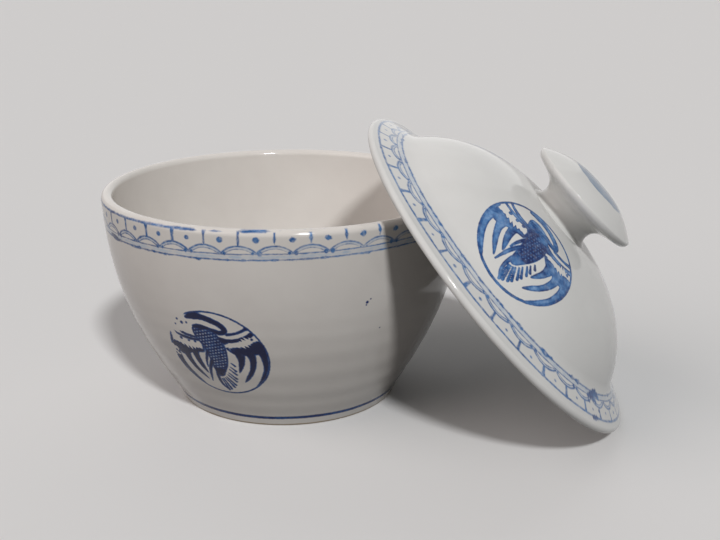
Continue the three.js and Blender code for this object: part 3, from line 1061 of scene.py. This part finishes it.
def worn(surface, ink):
    """The print's depth where it took, and none where it missed the clay."""
    missed = surface.value("missed") + surface.noise(3.2, detail=4.0, seed=34.0) * MISS_RAGGED
    return ink - missed.rise(*MISS_EDGE) * MISS_DEPTH


def on_bowl(angle, slant):
    """A place on the outside of the bowl, by its angle and its distance up the wall from the table."""
    radius, height = at_length(bowl_body(), np.array([slant - FOOT_HEIGHT]))[0]
    return (radius * cos(radians(angle)), radius * sin(radians(angle)), height)


def on_cover(angle, slant):
    """A place on the outside of the cover, by its angle and its distance in from the edge."""
    along = lengths(cover_line) - lengths(cover_line)[edge_row]
    radius, height = (np.interp(slant, along, cover_line[:, k]) for k in (0, 1))
    return (radius * cos(radians(angle)), radius * sin(radians(angle)), height)


def placed(on, *blots):
    """Blots of ink on a piece, each from its angle, its distance along the wall and its radius."""
    return tuple((on(angle, slant), radius) for angle, slant, radius in blots)


bowl_border = printed_border(
    cells=BOWL_CELLS, radius=BOWL_RADIUS, phase=0.15, line=0.36, top=-5.2, dots=-2.1, dot_size=0.9,
    arch_half=6.4, arch_rise=2.6, lines=(3.1, 5.3),
)
cover_border = printed_border(
    cells=COVER_CELLS, radius=70.0, phase=0.35, line=0.4, top=-4.75, dots=-1.85, dot_size=0.58,
    arch_half=6.75, arch_rise=2.4, lines=(3.2, 5.3),
)
BOWL_ARCH_TOP = 5.75
BOWL_DRIFT = 1.65
COVER_ARCH_TOP = 10.25
COVER_DRIFT = 1.7
BOWL_BLOTS = placed(
    on_bowl,
    (-115.2, 55.0, 0.55), (-113.5, 53.8, 0.75), (-111.6, 54.2, 0.5), (-116.4, 52.4, 0.45),
    (-120.6, 38.4, 0.6), (-121.4, 36.6, 0.5),
    (-54.0, 63.3, 0.65), (-54.2, 62.2, 0.35), (-52.9, 64.5, 0.28), (-47.8, 50.4, 0.32),
)
BOWL_SMEAR = placed(
    on_bowl,
    (-143.4, 82.2, 0.8), (-142.4, 82.1, 1.0), (-141.4, 82.0, 1.15), (-140.4, 81.9, 1.2),
    (-139.4, 81.8, 1.1), (-138.4, 81.7, 0.9), (-137.5, 81.6, 0.6),
)
COVER_SEAM = placed(
    on_cover,
    (-45.5, 12.4, 0.8), (-44.0, 13.0, 1.2), (-42.5, 13.6, 1.4), (-41.0, 14.2, 1.5), (-39.6, 14.6, 1.3),
    (-38.2, 14.0, 1.1), (-41.5, 12.0, 0.9), (-40.0, 11.3, 0.8), (-45.4, 10.6, 0.6), (-36.8, 13.2, 0.7),
    (-44.2, 4.3, 0.6), (-42.8, 4.6, 0.85), (-41.4, 4.9, 0.7), (-38.0, 6.0, 0.5), (-38.2, 8.0, 0.45),
)

# Bowl: where the border fades and its bars turn to drops, then tones and edges of the ink
BOWL_FADES = (-34.0, 22.0)
BOWL_DROPS = (-18.0, 26.0)
BOWL_BORDER_TONE = 0.5
BOWL_BORDER_SLOPE = -0.0025
BOWL_BORDER = {"soft": 0.32, "patchy": 1.6}
BOWL_PRINT_GAIN = 0.12
BOWL_PRINT_TONE = 0.62
BOWL_PRINT_MOTTLE = 0.6
BOWL_PRINT_DEEP = (0.0, 0.75)
BOWL_PRINT_DARKER = 0.42
BOWL_PRINT = {"soft": 0.22, "ragged": 0.55}
FOOT_LINE = 0.72
FOOT_LINE_HEIGHT = 4.1
FOOT_LINE_STRAY = 0.7
STROKE_TONE = 0.78
STROKE_SOFT = 0.25
BARE_HEIGHT = 0.75
BARE_STRAY = 0.8
BARE_EDGE = (-0.1, 0.15)
BARE_INSIDE = (38.0, 39.0)
BARE_ROUGHER = 0.6
BOWL_ROUGHNESS = 0.1

surface, ground = glazed("bowl_glazed", BOWL_WARE)
outside = surface.value("from_rim")
drop = BOWL_HEIGHT - surface.z + surface.x * (BOWL_DRIFT / BOWL_RADIUS) - BOWL_ARCH_TOP
fade = surface.x.rise(*BOWL_FADES)
depth, wash = border_ink(surface, bowl_border, drop, fade, surface.x.rise(*BOWL_DROPS))
ground = washed(surface, ground, wash.least(outside))
blotchy = mottled(surface, 42.0)
tone = blotchy + surface.x * BOWL_BORDER_SLOPE + BOWL_BORDER_TONE
ground = inked(surface, ground, depth.least(outside), tone, **BOWL_BORDER)
print_depth = worn(surface, surface.value("ink") + BOWL_PRINT_GAIN)
mottle = surface.noise(2.2, detail=4.0, seed=41.0) * BOWL_PRINT_MOTTLE
tone = mottle + print_depth.rise(*BOWL_PRINT_DEEP) * BOWL_PRINT_DARKER + BOWL_PRINT_TONE
ground = inked(surface, ground, print_depth, tone, **BOWL_PRINT)
stray = surface.noise(20.0, seed=44.0) * FOOT_LINE_STRAY
foot_line = FOOT_LINE - abs(surface.z - FOOT_LINE_HEIGHT + stray)
strokes = foot_line.most(blots_depth(surface, BOWL_SMEAR + BOWL_BLOTS)).least(outside)
ground = inked(surface, ground, strokes, blotchy + STROKE_TONE, STROKE_SOFT)
bare = BARE_HEIGHT - surface.z + surface.noise(6.0, detail=3.0, seed=45.0) * BARE_STRAY
ring = bare.rise(*BARE_EDGE) * surface.x.distance(surface.y).rise(*BARE_INSIDE)
ground = surface.blend(ring, ground, BISCUIT)
finish_glaze(surface, ground, skin(surface), ring * BARE_ROUGHER + BOWL_ROUGHNESS)
bowl.data.materials.append(surface.material)

# Cover: the border is full all round, then tones and edges of the seam and of the print
COVER_FADE = -0.5
COVER_DROPS = 0.0
COVER_BORDER_TONE = 0.48
COVER_BORDER = {"soft": 0.38, "patchy": 1.6}
SEAM_GAIN = 0.3
SEAM_TONE = 0.62
SEAM_MOTTLE = 1.4
SEAM = {"soft": 0.55, "ragged": 1.3}
COVER_PRINT_GAIN = 0.22
COVER_PRINT_TONE = 0.38
COVER_PRINT_MOTTLE = 1.3
COVER_PRINT_EDGE = (0.9, 0.1)
COVER_EDGE_DARKER = 0.24
COVER_BODY = (13.0, 4.0)
COVER_BODY_DARKER = 0.36
COVER_DARKEST = 0.88
COVER_NET = (0.12, -0.08)
COVER_NET_LIGHTER = 0.34
COVER_PRINT = {"soft": 0.18, "patchy": 0.4}
COVER_ROUGHNESS = 0.08

surface, ground = glazed("cover_glazed", COVER_WARE)
outside = surface.value("from_rim")
drop = outside + surface.y * (COVER_DRIFT / COVER_RADIUS) + (COVER_DRIFT - COVER_ARCH_TOP)
depth, wash = border_ink(surface, cover_border, drop, COVER_FADE, COVER_DROPS)
ground = washed(surface, ground, wash.least(outside))
blotchy = mottled(surface, 52.0)
tone = blotchy + COVER_BORDER_TONE
ground = inked(surface, ground, depth.least(outside), tone, **COVER_BORDER)
seam = blots_depth(surface, COVER_SEAM) + SEAM_GAIN
ground = inked(surface, ground, seam, blotchy * SEAM_MOTTLE + SEAM_TONE, **SEAM)
print_depth = worn(surface, surface.value("ink") + COVER_PRINT_GAIN)
body = surface.value("from_middle").rise(*COVER_BODY)
net = surface.value("ink").rise(*COVER_NET) * body
mottle = surface.noise(2.6, detail=4.0, seed=51.0) * COVER_PRINT_MOTTLE
tone = mottle + print_depth.rise(*COVER_PRINT_EDGE) * COVER_EDGE_DARKER
tone = tone + body * COVER_BODY_DARKER + COVER_PRINT_TONE
tone = tone.least(COVER_DARKEST) - net * COVER_NET_LIGHTER
ground = inked(surface, ground, print_depth, tone, **COVER_PRINT)
finish_glaze(surface, ground, skin(surface), COVER_ROUGHNESS)
cover.data.materials.append(surface.material)

# Knob: a wash brushed over its top
KNOB_WASH_RADIUS = 13.0
KNOB_WASH_STRAY = 5.0
KNOB_WASH_EDGE = (-0.4, 0.4)
KNOB_WASH_RISE = 1.5
KNOB_WASH_CLOUD = 0.5
KNOB_WASH_MEAN = 0.8

surface, ground = glazed("knob_glazed", COVER_WARE)
stray = surface.noise(9.0, detail=3.0, seed=61.0) * KNOB_WASH_STRAY
patch = KNOB_WASH_RADIUS - surface.x.distance(surface.y) + stray
top = surface.z.rise(KNOB_EDGE_HEIGHT, KNOB_EDGE_HEIGHT + KNOB_WASH_RISE)
cloud = surface.noise(4.0, detail=4.0, seed=62.0) * KNOB_WASH_CLOUD + KNOB_WASH_MEAN
ground = surface.blend(patch.rise(*KNOB_WASH_EDGE) * top * cloud, ground, KNOB_WASH)
finish_glaze(surface, ground, skin(surface), COVER_ROUGHNESS)
knob.data.materials.append(surface.material)

bpy.context.view_layer.update()
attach(bowl, "bowl")
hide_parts("bowl")
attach(cover, "cover")
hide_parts("cover")
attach(knob, "cover")
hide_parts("knob")

# Floor, light and camera

WHITE = (1.0, 1.0, 1.0)
BLUSH = (1.0, 0.91, 0.88)
# Lights by strength, spread, direction round the object, height and tint
LIGHTS = {
    "key": (1.84, 6.0, -66.0, 42.0, WHITE),
    "fill": (0.98, 55.0, -150.0, 35.0, BLUSH),
    "back": (0.38, 70.0, 100.0, 32.0, WHITE),
}
AMBIENT = 0.17
BACKDROP = 0.66
AIR_TINT = (1.0, 0.98, 0.96, 1.0)
FLOOR_REACH = 60.0
FLOOR_SEEN = (0.77, 0.77, 0.77, 1.0)
FLOOR_BOUNCE = (0.13, 0.13, 0.13, 1.0)


def seen_by_eye(tree):
    """1 for what is seen straight or mirrored in the glaze, 0 for light that only bounces."""
    rays = tree.nodes.new("ShaderNodeLightPath")
    seen = Field(tree, rays.outputs["Is Camera Ray"])
    return seen.most(rays.outputs["Is Glossy Ray"], rays.outputs["Is Transmission Ray"])


floor_mesh = bpy.data.meshes.new("floor")
floor_mesh.from_pydata(
    [(x * FLOOR_REACH, y * FLOOR_REACH, 0) for x, y in ((-1, -1), (1, -1), (1, 1), (-1, 1))],
    [], [(0, 1, 2, 3)],
)
floor = bpy.data.objects.new("floor", floor_mesh)
bpy.context.scene.collection.objects.link(floor)
floor_paint = bpy.data.materials.new("floor_paint")
floor_paint.use_nodes = True
floor_tree = floor_paint.node_tree
floor_shader = floor_tree.nodes["Principled BSDF"]
put(floor_shader.inputs["Roughness"], 1.0)
put(floor_shader.inputs["Specular IOR Level"], 0.0)
paint = mixed(floor_tree, seen_by_eye(floor_tree), FLOOR_BOUNCE, FLOOR_SEEN)
put(floor_shader.inputs["Base Color"], paint)
floor_mesh.materials.append(floor_paint)

scene = bpy.context.scene
scene.view_settings.view_transform = "Standard"
world = bpy.data.worlds.new("studio")
scene.world = world
world.use_nodes = True
air = world.node_tree.nodes["Background"]
put(air.inputs["Color"], AIR_TINT)
put(air.inputs["Strength"], seen_by_eye(world.node_tree) * (BACKDROP - AMBIENT) + AMBIENT)


def sun(name, strength, spread, side, height, tint):
    """A soft distant light, from a direction round the object and a height, in degrees."""
    data = bpy.data.lights.new(name, "SUN")
    data.energy = strength
    data.angle = radians(spread)
    data.color = tint
    lamp = bpy.data.objects.new(name, data)
    scene.collection.objects.link(lamp)
    lamp.rotation_euler = (radians(90 - height), 0, radians(90 + side))


for name, light in LIGHTS.items():
    sun(name, *light)

turn = Matrix.Rotation(radians(CAMERA_TURN), 4, "Z")
camera_data = bpy.data.cameras.new("camera")
camera_data.lens = LENS
camera_data.sensor_width = SENSOR
camera_data.sensor_fit = "HORIZONTAL"
camera = bpy.data.objects.new("camera", camera_data)
scene.collection.objects.link(camera)
back = turn @ Vector((CAMERA_SIDE * MM, -CAMERA_BACK * MM, 0))
camera.location = (bowl_middle.x + back.x, bowl_middle.y + back.y, CAMERA_HEIGHT * MM)
camera.rotation_euler = (radians(90 - CAMERA_PITCH), 0, radians(CAMERA_TURN))
scene.camera = camera

bpy.context.view_layer.update()
